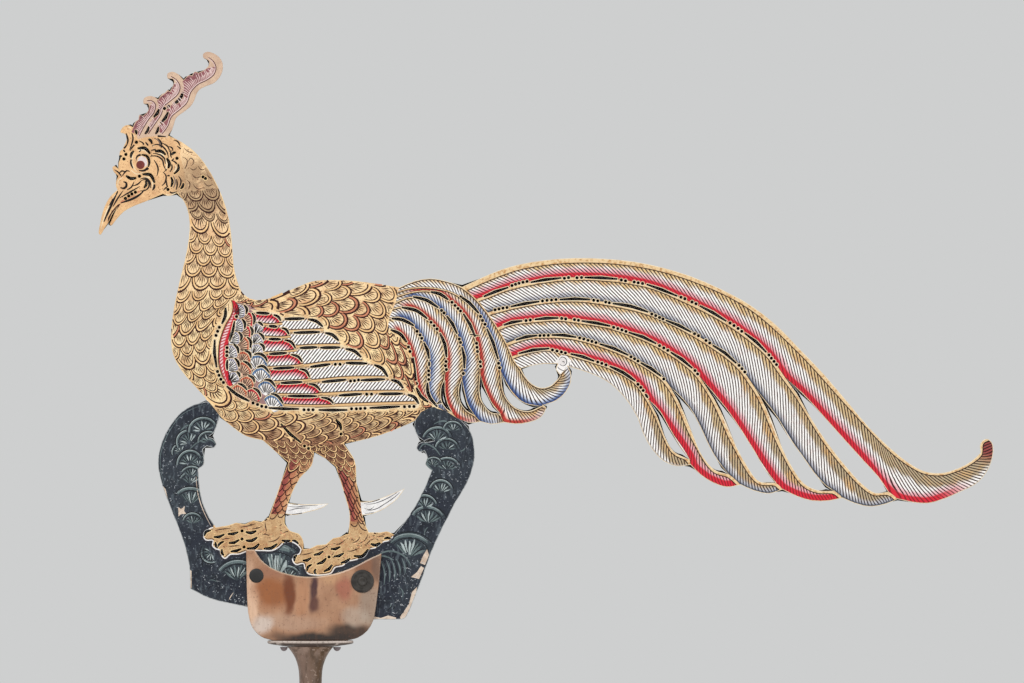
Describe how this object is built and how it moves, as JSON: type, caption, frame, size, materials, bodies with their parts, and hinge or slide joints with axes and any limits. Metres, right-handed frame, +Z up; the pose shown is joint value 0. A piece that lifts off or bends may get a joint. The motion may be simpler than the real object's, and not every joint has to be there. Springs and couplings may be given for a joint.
{
  "type": "shadow puppet",
  "caption": "Pierced and painted rawhide shadow puppet of a peacock on its ground, riveted between two horn cheeks on a turned horn handle.",
  "frame": {"origin": "centre of the flat blunt tip of the handle", "axes": "+Z up the handle's axis to the bird's crest, X in the plane of the sheet with the bird's beak towards -X and its tail towards +X, Y through the sheet's thickness with the pictured face towards -Y"},
  "size_m": [0.4921, 0.0172, 0.5391],
  "materials": {
    "painted_rawhide": "painted, slightly glossy",
    "pale_horn": "polished translucent horn",
    "dark_horn": "satin horn",
    "dark_rivet": "dark, dull",
    "grey_metal": "tarnished",
    "resin": "cloudy resin"
  },
  "bodies": {
    "root": {"figure_sheet": "painted_rawhide", "front_cheek": "pale_horn", "back_cheek": "pale_horn", "left_rivet": "dark_rivet", "right_rivet": "grey_metal", "right_washer": "grey_metal", "left_burr": "grey_metal", "right_burr": "grey_metal", "handle_stem": "dark_horn", "collar": "dark_horn", "resin_lump_left": "resin", "resin_lump_right": "resin"}
  },
  "joints": []
}
